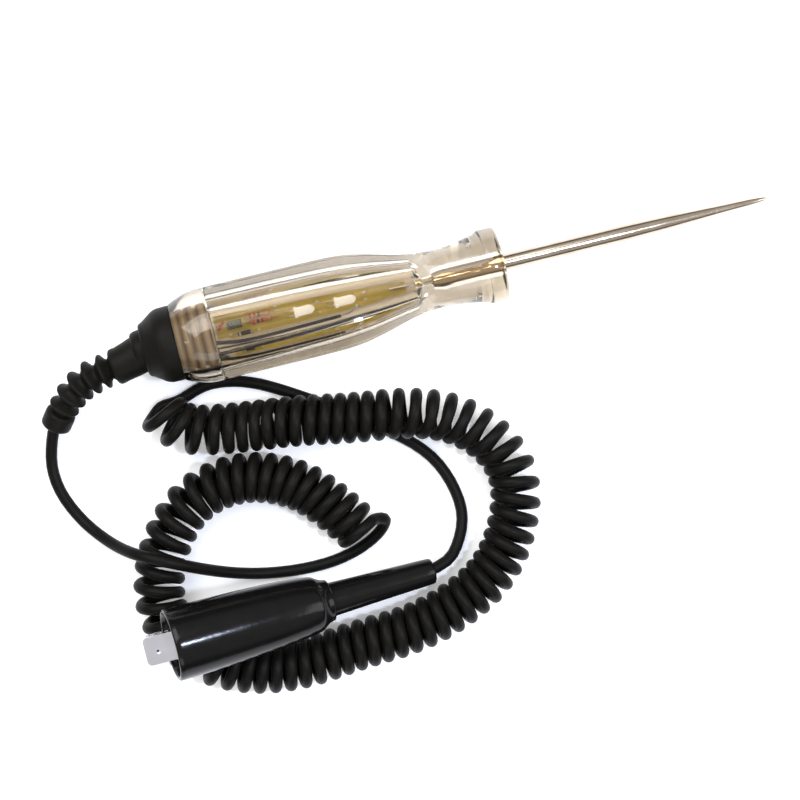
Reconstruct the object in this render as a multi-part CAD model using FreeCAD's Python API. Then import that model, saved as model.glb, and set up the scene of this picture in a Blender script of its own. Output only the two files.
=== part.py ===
import FreeCAD, Part
import math
import os

# Circuit test light: a clear plastic handle with a steel probe, a curly lead and a booted spring clip.
# Millimetres, +Z up.  The origin is on the tool's axis, where the probe's bare shank begins, half a
# millimetre in front of the handle's bell.
# +X runs towards the probe's tip.  The tool lies on its bell and its back collar, so its axis dips
# a little towards the tip, and the lead lies on the same floor.

V = FreeCAD.Vector
ORIGIN = V(0, 0, 0)
ALONG_X = V(1, 0, 0)
ALONG_Y = V(0, 1, 0)
ALONG_Z = V(0, 0, 1)

# ---- driving dimensions ----------------------------------------------------------------------
BAR_R = 14.32               # round bar that the handle is cut from, and its six corners
FACET_RATIO = math.cos(math.radians(30))
BELL_R = 11.5
BELL_FACE_X = -0.5
BELL_LENGTH = 4.9
BELL_EDGE = 0.8
NECK_END_X = -20.6          # the round bell ends here and the flats begin
FACET_END_X = -89.7         # the flats end here in a step to the round collar
HANDLE_END_X = -101.0
BORE = [(-90.2, 9.2), (-70.0, 9.0), (-55.0, 8.4), (-40.0, 7.2), (-28.0, 6.0)]
BORE_FRONT_X = -28.0
PLUG_BORE_R = 9.8
PLUG_BORE_X = -90.2
FLOOR_TILT = math.degrees(math.atan((BAR_R - BELL_R) / 88.0))
FLOOR_Z = -11.41            # floor under the bell and the collar

PROBE_R = 2.5
PROBE_SET_R = 1.9           # the stretch that is pressed into the handle
PROBE_BACK_X = -22.0
PROBE_TAPER_X = 38.0
PROBE_TIP_X = 84.2

BOARD_TOP_Z = -0.4
BOARD_THICK = 1.0
LED_R = 1.9
LED_LIFT = LED_R + 0.4      # the lamps' middle line above the board
LED_Y = 0.2
LED_REAR_X = -64.8
LED_FRONT_X = -52.4
DIODE_Y = -3.1

CORD_R = 1.8
COIL_R = 8.0
LEAD_Z = FLOOR_Z + CORD_R + 0.01
COIL_Z = FLOOR_Z + COIL_R + 0.01
RISE = 4.0                  # how far the coil is lifted where it lies on the lead

TAIL_END = V(-42.7, -86.3, -3.4)
BOOT_TILT = 14.0            # the boot's mouth rests on the coil
BOOT_BACK = 33.5            # distances along the boot from the tail's end
BOOT_MOUTH = 83.4
BOOT_WALL = 1.4
PIVOT_U = 63.0
PIVOT_W = -0.6
JAW_TIP_U = 91.2
JAW_HALF = 4.2
JAW_WALL = 0.7
EAR_HALF = 2.85
PIN_R = 1.0

RELIEF_ROUTE = [
    V(-112.6, -0.8, 3.6), V(-118.5, -2.6, 3.6), V(-125.5, -3.3, 2.9), V(-131.5, -5.0, 1.4),
    V(-136.6, -8.3, -0.9), V(-141.1, -12.7, -4.1), V(-144.6, -17.2, -6.6)]
COLLAR_R = 4.6
RIB_EDGE = 0.9              # width of a rib's blunt edge
NECK_LENGTH = 8.2

# lead from the handle: round, up over the coil and down again, into the coil's inner end
LEAD_HANDLE_ROUTE = [
    V(-144.6, -17.2, -6.6), V(-146.5, -21.4, -8.4), V(-148.1, -28.5, LEAD_Z),
    V(-147.1, -36.8, LEAD_Z), V(-143.2, -45.4, -9.2), V(-138.0, -52.0, -6.0),
    V(-132.4, -56.5, 0.1), V(-125.9, -59.8, 7.2), V(-116.3, -64.6, 7.2),
    V(-109.9, -68.5, 0.2), V(-102.3, -72.3, -6.2), V(-93.4, -75.1, -9.3),
    V(-83.0, -76.7, LEAD_Z), V(-72.2, -77.4, LEAD_Z), V(-63.8, -76.9, LEAD_Z),
    V(-58.4, -75.3, -9.3)]

# middle line of the curly stretch, from its inner end round to its outer end
LIFT_Z = COIL_Z + RISE
COIL_ROUTE = [
    V(-56.5, -73.0, COIL_Z), V(-65.0, -61.6, COIL_Z), V(-76.5, -50.6, COIL_Z),
    V(-92.0, -44.8, COIL_Z), V(-107.5, -47.4, COIL_Z), V(-118.5, -57.4, COIL_Z),
    V(-124.6, -70.5, COIL_Z), V(-124.2, -83.6, COIL_Z), V(-115.8, -95.2, COIL_Z),
    V(-103.0, -101.9, COIL_Z), V(-87.5, -104.1, COIL_Z), V(-70.0, -102.9, COIL_Z),
    V(-52.5, -101.9, COIL_Z), V(-37.6, -98.0, COIL_Z), V(-24.6, -90.6, COIL_Z),
    V(-15.6, -78.6, COIL_Z), V(-11.8, -65.0, COIL_Z), V(-15.2, -53.0, COIL_Z + 0.3),
    V(-24.8, -43.0, COIL_Z + 1.4), V(-38.6, -37.4, LIFT_Z), V(-54.5, -34.8, LIFT_Z),
    V(-71.0, -31.8, LIFT_Z), V(-84.5, -30.0, COIL_Z + 0.8), V(-97.0, -27.8, COIL_Z),
    V(-104.2, -25.4, COIL_Z), V(-109.4, -19.8, COIL_Z)]

# lead to the clip: out of the coil's outer end, under the coil and round into the tail
LEAD_CLIP_ROUTE = [
    V(-110.4, -20.6, -9.1), V(-104.6, -17.3, -9.4), V(-98.2, -15.1, LEAD_Z),
    V(-91.4, -14.8, -9.5), V(-84.0, -16.7, LEAD_Z), V(-75.4, -20.9, LEAD_Z),
    V(-63.4, -28.6, LEAD_Z), V(-51.0, -37.4, LEAD_Z), V(-40.0, -46.2, LEAD_Z),
    V(-33.4, -54.2, LEAD_Z), V(-29.9, -63.2, LEAD_Z), V(-29.4, -72.4, -9.4),
    V(-32.8, -80.4, -7.6), V(-38.2, -85.4, -4.9), V(-46.6, -86.3, -2.4)]


# ---- building helpers -------------------------------------------------------------------------
def smooth(points):
    """One smooth edge through (x, r) points in the XZ plane."""
    curve = Part.BSplineCurve()
    curve.interpolate([V(x, 0, r) for x, r in points])
    return curve.toShape()


def straight(points):
    """Straight edges through (x, r) points in the XZ plane."""
    corners = [V(x, 0, r) for x, r in points]
    return [Part.LineSegment(a, b).toShape() for a, b in zip(corners, corners[1:])]


def turned(edges):
    """A closed outline in the XZ plane, turned about the X axis."""
    face = Part.Face(Part.Wire(edges))
    return face.revolve(ORIGIN, ALONG_X, 360)


def turned_points(points):
    return turned(straight(points + [points[0]]))


def rod(x_from, x_to, radius, y=0.0, z=0.0):
    return Part.makeCylinder(radius, x_to - x_from, V(x_from, y, z), ALONG_X)


def block(x_from, x_to, y_from, y_to, z_from, z_to):
    size = (x_to - x_from, y_to - y_from, z_to - z_from)
    return Part.makeBox(size[0], size[1], size[2], V(x_from, y_from, z_from))


def across(outline, half_width):
    """A side outline of (x, z) points, made as wide as the clip is across Y."""
    corners = [V(x, -half_width, z) for x, z in outline]
    face = Part.Face(Part.makePolygon(corners + [corners[0]]))
    return face.extrude(V(0, 2 * half_width, 0))


def joined(shapes):
    solid = shapes[0]
    for shape in shapes[1:]:
        solid = solid.fuse(shape)
    return solid.removeSplitter()


def route_path(points):
    """Straight runs joined by tangent arcs, each as large as its two runs allow."""
    edges = []
    radii = []
    start = points[0]
    for before, corner, after in zip(points, points[1:], points[2:]):
        run_in = corner - before
        run_out = after - corner
        way_in = V(run_in).normalize()
        way_out = V(run_out).normalize()
        half_turn = way_in.getAngle(way_out) / 2
        trim = 0.45 * min(run_in.Length, run_out.Length)
        radii.append(trim / math.tan(half_turn))
        enter = corner - way_in * trim
        leave = corner + way_out * trim
        inward = (way_out - way_in).normalize()
        to_arc = radii[-1] / math.cos(half_turn) - radii[-1]
        edges.append(Part.LineSegment(start, enter).toShape())
        edges.append(Part.Arc(enter, corner + inward * to_arc, leave).toShape())
        start = leave
    edges.append(Part.LineSegment(start, points[-1]).toShape())
    return Part.Wire(edges), radii


def tube(name, points, radius):
    """A round solid along a route; prints its length, tightest radius and volume check."""
    path, radii = route_path(points)
    section = Part.Wire(Part.makeCircle(radius, points[0], points[1] - points[0]))
    solid = path.makePipeShell([section], True, False)
    ratio = solid.Volume / (math.pi * radius ** 2 * path.Length)
    print(f"{name}: length {path.Length:.1f}, radii {min(radii):.1f} to {max(radii):.1f},"
          f" volume ratio {ratio:.3f}, valid {solid.isValid()}")
    return solid


def on_floor(shape):
    """The tool leans on its bell and collar, so its axis dips towards the tip."""
    shape.rotate(ORIGIN, ALONG_Y, FLOOR_TILT)
    return shape


def on_clip(shape):
    """The clip is made along +X from the tail's end, then turned round and tipped up."""
    shape.rotate(ORIGIN, ALONG_Z, 180)
    shape.rotate(ORIGIN, ALONG_Y, BOOT_TILT)
    shape.translate(TAIL_END)
    return shape


# ---- handle -----------------------------------------------------------------------------------
def bell():
    face = BELL_FACE_X
    lip_back = face - BELL_LENGTH
    front = straight([(face, 0), (face, BELL_R - BELL_EDGE)])
    turn = math.sqrt(0.5) * BELL_EDGE
    centre = (face - BELL_EDGE, BELL_R - BELL_EDGE)
    edge = Part.Arc(V(face, 0, centre[1]), V(centre[0] + turn, 0, centre[1] + turn),
                    V(centre[0], 0, BELL_R)).toShape()
    lip = straight([(face - BELL_EDGE, BELL_R), (lip_back, BELL_R)])
    neck = smooth([(lip_back, BELL_R), (-6.7, 10.9), (-8.4, 10.3), (-12.7, 9.5),
                   (-16.4, 9.0), (NECK_END_X, 8.85)])
    back = straight([(NECK_END_X, 8.85), (NECK_END_X, 0), (face, 0)])
    return turned(front + [edge] + lip + [neck] + back)


def facet_pair():
    """A slab whose two faces are opposite flats, swelling from the neck to the full bar."""
    swell = [(NECK_END_X, 8.8), (-26.1, 9.15), (-30.9, 10.1), (-35.8, 11.4), (-40.6, 12.65),
             (-45.5, 13.65), (-50.3, 14.15), (-55.5, BAR_R)]
    upper = [(x, r * FACET_RATIO) for x, r in swell]
    flat = BAR_R * FACET_RATIO
    lower = [(x, -r) for x, r in upper]
    edges = [smooth(upper)]
    edges += straight([(-55.5, flat), (FACET_END_X, flat), (FACET_END_X, -flat), (-55.5, -flat)])
    edges += [smooth(lower)]
    edges += straight([(NECK_END_X, -8.8 * FACET_RATIO), (NECK_END_X, 8.8 * FACET_RATIO)])
    face = Part.Face(Part.Wire(Part.__sortEdges__(edges)))
    face.translate(V(0, -2 * BAR_R, 0))
    return face.extrude(V(0, 4 * BAR_R, 0))


def hexagon_body():
    body = facet_pair()
    for turn in (60, 120):
        slab = facet_pair()
        slab.rotate(ORIGIN, ALONG_X, turn)
        body = body.common(slab)
    return body


def back_collar():
    shoulder = smooth([(-92.6, BAR_R), (-95.0, 13.95), (-97.3, 13.3), (-99.5, 12.4),
                       (HANDLE_END_X, 11.7)])
    edges = straight([(FACET_END_X, 0), (FACET_END_X, BAR_R), (-92.6, BAR_R)])
    edges += [shoulder] + straight([(HANDLE_END_X, 11.7), (HANDLE_END_X, 0), (FACET_END_X, 0)])
    return turned(edges)


def handle_shell():
    body = joined([bell(), hexagon_body(), back_collar()])
    back = HANDLE_END_X - 1
    cavity = [turned_points([(back, 0), (back, PLUG_BORE_R), (PLUG_BORE_X, PLUG_BORE_R)] + BORE
                            + [(BORE_FRONT_X + 3, 0)]),
              rod(PROBE_BACK_X, 1, PROBE_SET_R),
              rod(BORE_FRONT_X - 1, PROBE_BACK_X + 1, 1.2)]
    for hollow in cavity:
        body = body.cut(hollow)
    return body


def probe():
    taper = smooth([(PROBE_TAPER_X, PROBE_R), (42.0, 2.44), (51.0, 2.2), (60.5, 1.78),
                    (69.5, 1.36), (79.5, 0.98), (83.2, 0.62)])
    tip = [(83.2, 0.62), (83.7, 0.5), (84.05, 0.3), (PROBE_TIP_X, 0)]
    back = [(PROBE_TIP_X, 0), (PROBE_BACK_X, 0), (PROBE_BACK_X, PROBE_SET_R - 0.4),
            (PROBE_BACK_X + 0.4, PROBE_SET_R), (0, PROBE_SET_R), (0, PROBE_R),
            (PROBE_TAPER_X, PROBE_R)]
    body = turned(straight(back) + [taper] + straight(tip))
    return body.cut(rod(PROBE_BACK_X - 1, PROBE_BACK_X + 4, 0.7))


# ---- electrical pieces in the bore ------------------------------------------------------------
def circuit_board():
    outline = [(-88.8, -3.4), (-85.6, -3.4), (-84.6, -4.6), (-44.0, -4.3), (-38.0, -3.4),
               (-30.8, -2.8), (-30.8, 2.4), (-40.0, 3.4), (-56.0, 5.0), (-72.0, 6.6), (-88.8, 7.6)]
    corners = [V(x, y, BOARD_TOP_Z - BOARD_THICK) for x, y in outline]
    face = Part.Face(Part.makePolygon(corners + [corners[0]]))
    return face.extrude(V(0, 0, BOARD_THICK))


def probe_lead():
    foot_z = BOARD_TOP_Z + 0.7
    path = [V(PROBE_BACK_X + 4, 0, 0), V(-26.5, 0, 0), V(-30.5, 0.2, foot_z), V(-36.0, 0.4, foot_z)]
    return tube("probe_lead", path, 0.68)


def led(x_back):
    """A clear lamp lying along the board with its dome towards the probe."""
    z = BOARD_TOP_Z + LED_LIFT
    rim = rod(x_back, x_back + 0.9, LED_R + 0.35, LED_Y, z)
    barrel = rod(x_back, x_back + 4.4, LED_R, LED_Y, z)
    dome = Part.makeSphere(LED_R, V(x_back + 4.4, LED_Y, z))
    return joined([rim, barrel, dome])


def led_leads(x_back):
    """The two bent legs behind a lamp."""
    z = BOARD_TOP_Z + LED_LIFT
    legs = []
    for y in (LED_Y - 1.0, LED_Y + 1.0):
        path = [V(x_back, y, z), V(x_back - 1.4, y, z), V(x_back - 2.2, y, z - 1.0),
                V(x_back - 2.2, y, BOARD_TOP_Z)]
        legs.append(tube("led leg", path, 0.25))
    return legs


def resistor(x_from, y):
    """An axial resistor: a round body with fatter ends and a bent wire at each end."""
    z = BOARD_TOP_Z + 1.25
    profile = [(0, 0), (0, 0.75), (0.4, 1.1), (1.5, 1.1), (2.0, 0.9), (4.6, 0.9), (5.1, 1.1),
               (6.2, 1.1), (6.6, 0.75), (6.6, 0)]
    body = turned_points(profile)
    body.translate(V(x_from, y, z))
    legs = []
    for x_root, way in ((x_from, -1), (x_from + 6.6, 1)):
        bend = x_root + way * 1.1
        path = [V(x_root - way * 0.2, y, z), V(bend, y, z), V(bend, y, BOARD_TOP_Z)]
        legs.append(tube("resistor leg", path, 0.28))
    return joined([body] + legs)


def diode():
    z = BOARD_TOP_Z + 1.0
    body = rod(-82.6, -78.8, 0.95, DIODE_Y, z)
    legs = [rod(-83.9, -82.6, 0.25, DIODE_Y, z), rod(-78.8, -77.5, 0.25, DIODE_Y, z)]
    return joined([body] + legs)


def board_chip():
    body = block(-85.4, -80.8, -0.3, 3.3, BOARD_TOP_Z, BOARD_TOP_Z + 2.2)
    top_edges = [edge for edge in body.Edges if edge.BoundBox.ZMin > BOARD_TOP_Z + 2]
    return body.makeFillet(0.5, top_edges)


def red_link():
    z = BOARD_TOP_Z + 0.6
    path = [V(-88.0, 0.6, z), V(-87.4, 2.4, z + 0.8), V(-86.0, 3.7, z)]
    return tube("red_link", path, 0.55)


def solder_joints():
    spots = [(-34.6, 0.4), (-57.2, 2.9), (-57.2, -2.3), (-43.6, 1.9), (-43.6, -1.4), (-46.2, -3.2)]
    spots += [(-84.8, -2.6), (-76.2, -3.1), (-70.0, 5.2)]
    blobs = []
    for x, y in spots:
        ball = Part.makeSphere(0.62, V(x, y, BOARD_TOP_Z))
        blobs.append(ball.common(block(x - 1, x + 1, y - 1, y + 1, BOARD_TOP_Z, BOARD_TOP_Z + 1)))
    return Part.makeCompound(blobs)


def ground_wire():
    path = [V(-91.8, -4.4, 0), V(-88.9, -4.8, 0.1), V(-84.0, -6.5, -0.3), V(-77.0, -7.3, -1.0),
            V(-65.0, -7.2, -1.3), V(-51.2, -6.7, -1.2)]
    return tube("ground_wire", path, 0.95)


def ground_strands():
    path = [V(-51.2, -6.7, -1.2), V(-49.6, -6.6, -1.1), V(-47.8, -5.4, 0.2), V(-46.2, -3.6, 0.1)]
    return tube("ground_strands", path, 0.4)


# ---- back end ---------------------------------------------------------------------------------
def end_plug():
    """A ribbed plug, with a hole for the wire."""
    groove = 1.1
    outline = [(HANDLE_END_X, 0), (HANDLE_END_X, PLUG_BORE_R - 0.05)]
    x = HANDLE_END_X + 1.6
    while x < PLUG_BORE_X - 2.6:
        outline += [(x, PLUG_BORE_R - 0.05), (x + 0.3, PLUG_BORE_R - 0.9),
                    (x + groove, PLUG_BORE_R - 0.9), (x + groove + 0.3, PLUG_BORE_R - 0.05)]
        x += 2.7
    outline += [(PLUG_BORE_X - 0.6, PLUG_BORE_R - 0.05), (PLUG_BORE_X - 0.1, PLUG_BORE_R - 0.6),
                (PLUG_BORE_X - 0.1, 0)]
    wire_hole = rod(-92.0, PLUG_BORE_X + 1, 1.4, -4.5)
    return turned_points(outline).cut(wire_hole)


def end_cap():
    """A rubber dome with a stepped hub."""
    dome = smooth([(-104.9, 11.3), (-106.6, 10.7), (-108.2, 9.6), (-109.9, 8.4), (-111.2, 7.8)])
    edges = straight([(HANDLE_END_X, 0), (HANDLE_END_X, 11.4), (-104.9, 11.3)]) + [dome]
    edges += straight([(-111.2, 7.8), (-111.2, 6.3), (-113.2, 6.2), (-114.4, 5.4), (-114.4, 0),
                       (HANDLE_END_X, 0)])
    return turned(edges)


def strain_relief(cap):
    """A moulded bellows: a thick neck, then a slim core with blunt ribs square to its middle line."""
    core = tube("strain_relief", RELIEF_ROUTE[:-1], 2.9)
    path = route_path(RELIEF_ROUTE[:-1])[0]
    ribs = []
    for distance, rib_r in ((12.4, 5.3), (16.7, 5.4), (21.2, 5.2), (25.7, 5.0), (30.0, 4.7)):
        spot, ahead = point_on(path, distance)
        ribs.append(Part.makeCylinder(rib_r, RIB_EDGE, spot - ahead * RIB_EDGE / 2, ahead))
        for side in (-1, 1):
            face = spot + ahead * side * RIB_EDGE / 2
            ribs.append(Part.makeCone(rib_r, 2.7, 1.5, face, ahead * side))
    start, way = point_on(path, 0.0)
    ribs.append(Part.makeCylinder(5.6, NECK_LENGTH, start, way))
    ribs.append(Part.makeCone(5.6, 4.7, 0.8, start + way * NECK_LENGTH, way))
    return joined([core] + ribs).cut(cap)


def point_on(path, distance):
    """The point and direction a given distance along a wire."""
    left = distance
    for edge in path.Edges:
        if left <= edge.Length:
            at = edge.getParameterByLength(left)
            return edge.valueAt(at), V(edge.tangentAt(at))
        left -= edge.Length
    last = path.Edges[-1]
    return last.valueAt(last.LastParameter), V(last.tangentAt(last.LastParameter))


def relief_collar():
    start, end = RELIEF_ROUTE[-2:]
    ring = Part.makeCylinder(COLLAR_R, (end - start).Length, start, end - start)
    rims = [edge for edge in ring.Edges if edge.Curve.TypeId == "Part::GeomCircle"]
    return ring.makeFillet(0.5, rims)


# ---- boot and clip, made along +X from the tail's end -------------------------------------------
def boot_tail():
    outer = smooth([(0.8, 4.05), (12.0, 4.4), (24.0, 4.8), (35.4, 5.25)])
    edges = straight([(35.4, 5.25), (35.4, 1.85), (7.0, 1.85), (5.0, 2.4), (0, 2.5), (0, 3.8),
                      (0.8, 4.05)])
    return turned([outer] + edges)


def clip_boot():
    """A rubber boot with a round mouth, a belly and a stepped shoulder."""
    outer = smooth([(BOOT_MOUTH - 0.9, 10.95), (75.0, 10.8), (62.0, 10.45), (50.4, 9.85),
                    (43.0, 9.2), (38.0, 8.5)])
    inner = smooth([(37.6, 5.9), (42.0, 6.95), (50.4, 8.2), (62.0, 9.05), (75.0, 9.35),
                    (BOOT_MOUTH, 9.55)])
    hole_r = 5.3
    edges = straight([(38.0, 8.5), (36.0, 7.2), (BOOT_BACK, 6.3), (BOOT_BACK, hole_r),
                      (36.0, hole_r), (37.6, 5.9)])
    mouth = straight([(BOOT_MOUTH, 9.55), (BOOT_MOUTH, 10.5), (BOOT_MOUTH - 0.9, 10.95)])
    return turned([outer] + edges + [inner] + mouth)


def lead_core():
    return rod(4.0, 40.0, CORD_R)


def clip_strands():
    return rod(40.0, 45.5, 0.8)


def clip_crimp():
    barrel = rod(37.9, 45.4, 2.5).cut(rod(37, 46, CORD_R))
    slit = block(37, 46, -0.25, 0.25, 0, 4)
    return barrel.cut(slit)


def teeth(x_from, count, pitch, z_edge, way):
    """V notches in a jaw's biting edge; way is +1 for an edge that faces up."""
    notches = []
    for index in range(count):
        x = x_from + index * pitch
        notch = [(x - 0.42 * pitch, z_edge + way * 0.1), (x, z_edge - way * 0.9),
                 (x + 0.42 * pitch, z_edge + way * 0.1)]
        notches.append(across(notch, JAW_HALF + 1))
    return notches


def clip_body():
    """The fixed jaw: a folded channel with two ears for the pin."""
    outline = [(JAW_TIP_U, -2.3), (JAW_TIP_U - 0.1, -4.3), (JAW_TIP_U - 1.4, -4.9), (76.0, -6.8),
               (62.0, -7.3), (52.0, -6.6), (46.0, -3.9), (42.0, -3.3), (42.0, -2.6), (46.5, -2.9),
               (52.0, -3.4), (57.0, -1.6), (59.4, 0.6), (60.4, 2.4), (65.4, 2.4), (67.2, 0.4),
               (69.2, -2.3)]
    inside = [(JAW_TIP_U - JAW_WALL, 4), (JAW_TIP_U - JAW_WALL, -4.1), (JAW_TIP_U - 1.8, -4.4),
              (76.0, -6.1), (62.0, -6.6), (52.2, -5.9), (46.3, -3.2), (41.0, -2.6), (41.0, 4)]
    body = across(outline, JAW_HALF).cut(across(inside, JAW_HALF - JAW_WALL))
    hole = Part.makeCylinder(PIN_R, 20, V(PIVOT_U, -10, PIVOT_W), ALONG_Y)
    body = body.cut(hole)
    for notch in teeth(72.6, 8, 2.2, -2.3, 1):
        body = body.cut(notch)
    narrow = across([(40, -8), (47.5, -8), (47.5, 0), (40, 0)], 10).cut(
        across([(39, -9), (48, -9), (48, 1), (39, 1)], 2.4))
    return body.cut(narrow)


def clip_jaw():
    """The moving jaw: wide where it bites, narrow at its ears, with a thumb tab behind."""
    bite = [(JAW_TIP_U, -1.95), (JAW_TIP_U - 0.1, 0.1), (JAW_TIP_U - 1.3, 0.7), (77.0, 2.2),
            (69.6, 2.9), (69.6, -1.95)]
    bite_in = [(JAW_TIP_U - JAW_WALL, -4), (JAW_TIP_U - JAW_WALL, -0.2), (JAW_TIP_U - 1.7, 0.0),
               (77.0, 1.5), (69.0, 2.2), (69.0, -4)]
    ears = [(70.4, -1.95), (70.4, 2.82), (64.0, 3.4), (57.0, 3.5), (48.0, 4.6), (48.0, 3.9),
            (57.0, 2.6), (59.6, 0.6), (60.6, -3.0), (65.6, -3.0), (67.4, -1.95)]
    ears_in = [(70.5, -4), (70.5, 2.1), (64.0, 2.7), (57.5, 2.8), (56.9, 2.0), (59.0, -4)]
    front = across(bite, JAW_HALF).cut(across(bite_in, JAW_HALF - JAW_WALL))
    back = across(ears, EAR_HALF).cut(across(ears_in, EAR_HALF - JAW_WALL))
    web = across([(69.6, -1.95), (69.6, 2.9), (70.4, 2.82), (70.4, -1.95)], JAW_HALF)
    web = web.cut(across([(69, -4), (69, 2.1), (71, 2.0), (71, -4)], EAR_HALF - JAW_WALL))
    body = joined([front, web, back])
    hole = Part.makeCylinder(PIN_R + 0.05, 20, V(PIVOT_U, -10, PIVOT_W), ALONG_Y)
    body = body.cut(hole)
    for notch in teeth(73.7, 7, 2.2, -1.95, -1):
        body = body.cut(notch)
    return body


def clip_pin():
    shank = Part.makeCylinder(PIN_R, 2 * JAW_HALF, V(PIVOT_U, -JAW_HALF, PIVOT_W), ALONG_Y)
    heads = [Part.makeCylinder(1.6, 0.55, V(PIVOT_U, JAW_HALF, PIVOT_W), ALONG_Y),
             Part.makeCylinder(1.6, 0.55, V(PIVOT_U, -JAW_HALF, PIVOT_W), -ALONG_Y)]
    return joined([shank] + heads)


def clip_spring():
    """Close turns of wire round the pin, with a leg against the tab and a leg against the floor."""
    wire_r = 0.36
    turn_r = 1.75
    turns = []
    for index in range(4):
        y = (index - 1.5) * 0.66
        turns.append(Part.makeTorus(turn_r, wire_r, V(PIVOT_U, y, PIVOT_W), ALONG_Y))
    legs = []
    for y, top, end in ((-0.99, 1, V(53.6, 0, 2.1)), (0.99, -1, V(54.0, 0, -5.2))):
        start = V(PIVOT_U, y, PIVOT_W + top * turn_r)
        finish = V(end.x, y, end.z)
        legs.append(Part.makeCylinder(wire_r, (finish - start).Length, start, finish - start))
    return joined(turns + legs)


# ---- everything, node by node -------------------------------------------------------------------
def make_all():
    cap = end_cap()
    tool = {
        "handle_shell": handle_shell(), "probe": probe(), "probe_lead": probe_lead(),
        "circuit_board": circuit_board(), "led_rear": led(LED_REAR_X), "led_front": led(LED_FRONT_X),
        "resistor_long": resistor(-78.6, 3.4), "resistor_short": resistor(-78.0, 0.6),
        "diode": diode(), "board_chip": board_chip(), "red_link": red_link(),
        "solder_joints": solder_joints(), "ground_wire": ground_wire(),
        "ground_strands": ground_strands(), "end_plug": end_plug(), "end_cap": cap,
        "led_legs": Part.makeCompound(led_leads(LED_REAR_X) + led_leads(LED_FRONT_X))}
    nodes = {name: on_floor(shape) for name, shape in tool.items()}
    nodes["strain_relief"] = strain_relief(nodes["end_cap"])
    nodes["relief_collar"] = relief_collar()
    nodes["lead_handle"] = tube("lead_handle", LEAD_HANDLE_ROUTE, CORD_R)
    nodes["lead_coil"] = tube("lead_coil", COIL_ROUTE, COIL_R)
    nodes["lead_clip"] = tube("lead_clip", LEAD_CLIP_ROUTE, CORD_R)
    clip = {
        "boot_tail": boot_tail(), "clip_boot": clip_boot(), "lead_core": lead_core(),
        "clip_strands": clip_strands(), "clip_crimp": clip_crimp(), "clip_body": clip_body(),
        "clip_jaw": clip_jaw(), "clip_pin": clip_pin(), "clip_spring": clip_spring()}
    for name, shape in clip.items():
        nodes[name] = on_clip(shape)
    return nodes


os.makedirs("parts", exist_ok=True)
for node_name, node_shape in make_all().items():
    node_shape.exportStep(f"parts/{node_name}.step")
    box = node_shape.BoundBox
    print(f"{node_name}: valid {node_shape.isValid()}, solids {len(node_shape.Solids)},"
          f" x {box.XMin:.2f} {box.XMax:.2f}, y {box.YMin:.2f} {box.YMax:.2f},"
          f" z {box.ZMin:.2f} {box.ZMax:.2f}")
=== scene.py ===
import math

import bmesh
import bpy
from mathutils import Matrix, Vector


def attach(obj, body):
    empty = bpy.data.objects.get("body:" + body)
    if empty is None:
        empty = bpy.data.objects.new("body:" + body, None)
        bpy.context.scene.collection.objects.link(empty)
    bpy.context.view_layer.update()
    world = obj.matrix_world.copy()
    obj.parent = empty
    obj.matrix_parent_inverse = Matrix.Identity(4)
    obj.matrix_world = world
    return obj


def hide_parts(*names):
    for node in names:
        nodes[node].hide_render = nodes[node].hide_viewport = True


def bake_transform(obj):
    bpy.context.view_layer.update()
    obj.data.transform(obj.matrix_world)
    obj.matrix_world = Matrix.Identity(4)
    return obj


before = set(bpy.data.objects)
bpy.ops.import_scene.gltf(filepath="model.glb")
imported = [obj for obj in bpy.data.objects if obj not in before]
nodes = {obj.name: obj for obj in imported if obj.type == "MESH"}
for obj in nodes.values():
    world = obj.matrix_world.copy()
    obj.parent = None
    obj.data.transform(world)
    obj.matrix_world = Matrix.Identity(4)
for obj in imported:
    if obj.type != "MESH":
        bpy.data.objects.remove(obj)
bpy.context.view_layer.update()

# ---- The floor, the lights and the camera -------------------------------------------------------
# The tester lies on a plain white table that glows a little, under three big soft lamps and a small
# bluish one, which draws the streak on the boot. The camera looks down on it, three degrees off the
# vertical, and is turned so that the probe points up to the right.

MM = 0.001


def mm(x, y, z):
    """A place given in millimetres."""
    return Vector((x, y, z)) * MM


FLOOR_Z = -11.42    # millimetres, like every size that is a plain number
TABLE_SIZE = 9.0    # metres
TABLE_GLOW = 0.26


class Flow:
    """One value in a material's nodes. Arithmetic on it adds Math nodes."""

    def __init__(self, tree, socket=None):
        self.tree = tree
        self.socket = socket

    def node(self, kind, settings=None, sockets=None, out=0):
        made = self.tree.nodes.new(kind)
        for name, value in (settings or {}).items():
            if name == "stops":
                ramp = made.color_ramp
                while len(ramp.elements) < len(value):
                    ramp.elements.new(0.5)
                for stop, (share, colour) in zip(ramp.elements, value):
                    stop.position = share
                    stop.color = (*colour, 1.0)
            else:
                setattr(made, name, value)
        for name, value in (sockets or {}).items():
            if isinstance(value, Flow):
                self.tree.links.new(value.socket, made.inputs[name])
            else:
                made.inputs[name].default_value = value
        return Flow(self.tree, made.outputs[out] if made.outputs else None)

    def maths(self, operation, *values):
        settings = {"operation": operation}
        return self.node("ShaderNodeMath", settings, dict(enumerate(values)))

    def __add__(self, other):
        return self.maths("ADD", self, other)

    def __radd__(self, other):
        return self.maths("ADD", other, self)

    def __sub__(self, other):
        return self.maths("SUBTRACT", self, other)

    def __rsub__(self, other):
        return self.maths("SUBTRACT", other, self)

    def __mul__(self, other):
        return self.maths("MULTIPLY", self, other)

    def __rmul__(self, other):
        return self.maths("MULTIPLY", other, self)

    def __truediv__(self, other):
        return self.maths("DIVIDE", self, other)

    def __gt__(self, other):
        return self.maths("GREATER_THAN", self, other)

    def __lt__(self, other):
        return self.maths("LESS_THAN", self, other)


def new_finish(name):
    """An empty material, and a Flow that adds nodes to it."""
    material = bpy.data.materials.new(name)
    material.use_nodes = True
    material.node_tree.nodes.clear()
    return material, Flow(material.node_tree)


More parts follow.
